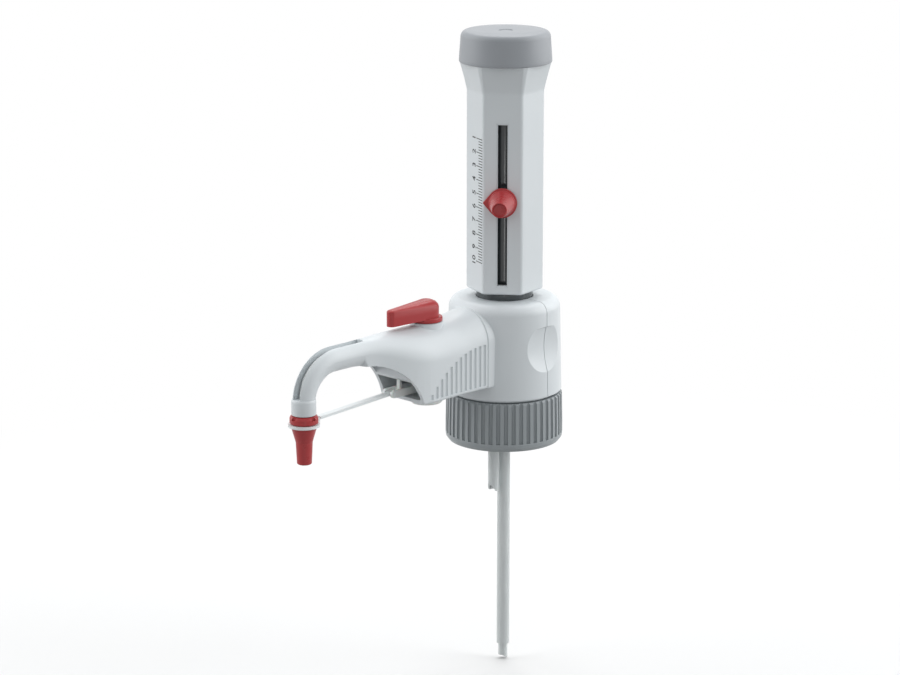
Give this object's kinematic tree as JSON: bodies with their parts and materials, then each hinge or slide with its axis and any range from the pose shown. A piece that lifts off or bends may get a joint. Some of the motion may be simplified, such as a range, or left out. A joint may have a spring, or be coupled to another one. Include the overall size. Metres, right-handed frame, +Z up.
{
  "type": "bottle-top dispenser",
  "caption": "Bottle-top dispenser for a 45 mm threaded bottle: lifting six-sided handle with volume pointer, swivelling valve block, curved discharge arm with valve lever and screw cap.",
  "frame": {"origin": "centre of the bottle rim's seat, on the thread axis", "axes": "+Z up along the bottle axis, -X along the discharge arm towards the spout"},
  "size_m": [0.1615, 0.0542, 0.2989],
  "materials": {
    "pale_housing": "moulded light grey plastic, fine satin",
    "mid_grey_cap": "moulded mid grey plastic, satin",
    "dark_grey_collar": "moulded dark grey plastic, satin",
    "charcoal_sleeve": "dark grey plastic, smooth",
    "red_control": "red moulded plastic, semi-gloss",
    "white_fluoropolymer": "white turned plastic, waxy",
    "clear_tube": "translucent fluoropolymer tube",
    "clear_tether": "translucent flexible plastic",
    "cylinder_glass": "clear borosilicate glass",
    "valve_ceramic": "polished ceramic",
    "fastener_steel": "stainless steel"
  },
  "bodies": {
    "collar": {"threaded_collar": "dark_grey_collar", "rim_seal": "white_fluoropolymer"},
    "valve_block": {"block_core": "white_fluoropolymer", "front_shell": "pale_housing", "rear_shell": "pale_housing", "shell_screws": "fastener_steel", "safety_ring": "charcoal_sleeve", "glass_cylinder": "cylinder_glass", "cylinder_sleeve": "charcoal_sleeve", "vent_cover": "mid_grey_cap", "vent_filter": "white_fluoropolymer", "arm_housing": "pale_housing", "outlet_pipe": "white_fluoropolymer", "valve_barrel": "white_fluoropolymer", "discharge_valve_body": "white_fluoropolymer", "discharge_spring": "fastener_steel", "discharge_tube": "clear_tube", "nozzle_ring": "pale_housing", "tether_clip": "white_fluoropolymer", "filling_valve_body": "white_fluoropolymer", "filling_valve_seat": "valve_ceramic", "filling_tube_upper": "clear_tube", "recirculation_tube": "clear_tube"},
    "handle": {"handle_housing": "pale_housing", "top_cap": "mid_grey_cap", "cap_plug": "mid_grey_cap", "rod_nut": "fastener_steel", "piston_rod": "white_fluoropolymer", "piston": "white_fluoropolymer", "piston_seal": "white_fluoropolymer"},
    "pointer": {"pointer_plate": "red_control", "clamp_shoe": "charcoal_sleeve"},
    "thumb_screw": {"thumb_screw": "red_control"},
    "lever": {"valve_lever": "red_control", "valve_plug": "white_fluoropolymer"},
    "tether_ring": {"tether_ring": "clear_tether"},
    "tip_cap": {"tip_cap": "red_control", "cap_seal": "white_fluoropolymer"},
    "tether_strap": {"tether_strap": "clear_tether"},
    "lower_tube": {"filling_tube_lower": "clear_tube"},
    "filling_ball": {"filling_ball": "valve_ceramic"},
    "discharge_ball": {"discharge_ball": "valve_ceramic"}
  },
  "joints": [
    {"name": "block_swivel", "type": "hinge", "parent": "collar", "child": "valve_block", "pos_m": [0, 0, 0], "axis": [0, 0, 1], "continuous": true},
    {"name": "handle_lift", "type": "slide", "parent": "valve_block", "child": "handle", "axis": [0, 0, 1], "range_m": [0, 0.0631]},
    {"name": "pointer_set", "type": "slide", "parent": "handle", "child": "pointer", "axis": [0, 0, 1], "range_m": [-0.0284, 0.0284]},
    {"name": "thumb_screw_turn", "type": "hinge", "parent": "pointer", "child": "thumb_screw", "pos_m": [-0.01561, -0.0125, 0.09771], "axis": [-0.7804, -0.6252, 0], "range_deg": [0, 360]},
    {"name": "lever_turn", "type": "hinge", "parent": "valve_block", "child": "lever", "pos_m": [-0.0514, 0, 0.05], "axis": [0, 0, 1], "range_deg": [0, 90]},
    {"name": "cap_pull", "type": "slide", "parent": "valve_block", "child": "tether_ring", "axis": [0, 0, -1], "range_m": [0, 0.0045]},
    {"name": "cap_turn", "type": "hinge", "parent": "tether_ring", "child": "tip_cap", "pos_m": [-0.127, 0, 0.01], "axis": [0, 0, -1], "range_deg": [0, 541]},
    {"name": "strap_swing", "type": "hinge", "parent": "valve_block", "child": "tether_strap", "pos_m": [-0.0745, 0, 0.019], "axis": [0, -1, 0], "range_deg": [0, 6]},
    {"name": "filling_tube_slide", "type": "slide", "parent": "valve_block", "child": "lower_tube", "axis": [0, 0, -1], "range_m": [0, 0.09]},
    {"name": "filling_ball_lift", "type": "slide", "parent": "valve_block", "child": "filling_ball", "axis": [0, 0, 1], "range_m": [0, 0.001]},
    {"name": "discharge_ball_open", "type": "slide", "parent": "valve_block", "child": "discharge_ball", "axis": [-1, 0, 0], "range_m": [0, 0.0008], "stiffness_N_per_m": 15, "springref_m": -0.001}
  ],
  "couplings": [
    {"joint": "cap_turn", "follows": "cap_pull", "rad_per_m": 2094.4},
    {"joint": "strap_swing", "follows": "cap_pull", "rad_per_m": 22.9}
  ]
}
